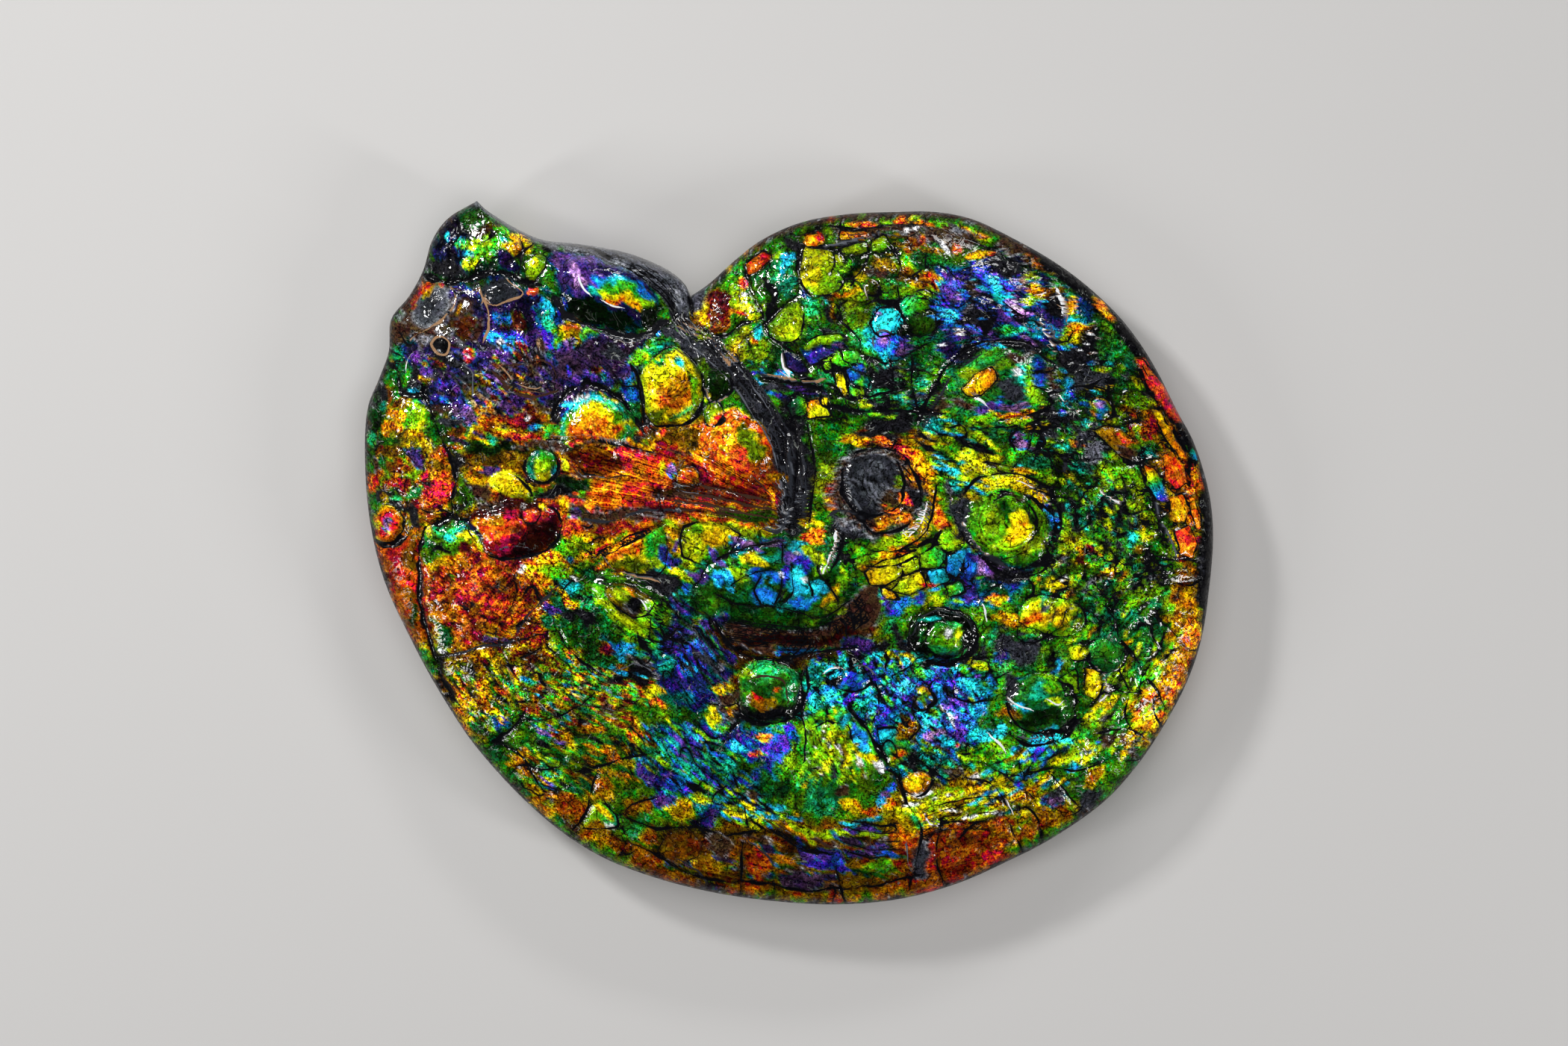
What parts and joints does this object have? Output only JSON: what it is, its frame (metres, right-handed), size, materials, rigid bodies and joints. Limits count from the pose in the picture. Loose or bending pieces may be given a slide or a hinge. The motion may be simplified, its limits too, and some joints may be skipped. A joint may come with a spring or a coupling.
{
  "type": "ammolite ammonite fossil",
  "caption": "Disc-shaped ammonite fossil with an iridescent nacre surface, a plugged umbilicus, raised bosses and a broken-off mouth, lying flat on its worn flank.",
  "frame": {"origin": "middle of the footprint, on the flat resting face of the lower flank", "axes": "+Z out of the upper flank, +X across the longest way of the disc, towards the side away from the mouth, +Y towards the mouth's tip and the notch"},
  "size_m": [0.4201, 0.3483, 0.0694],
  "materials": {
    "ammolite": "polished iridescent nacre over dark mudstone"
  },
  "bodies": {
    "root": {"ammonite": "ammolite"}
  },
  "joints": []
}
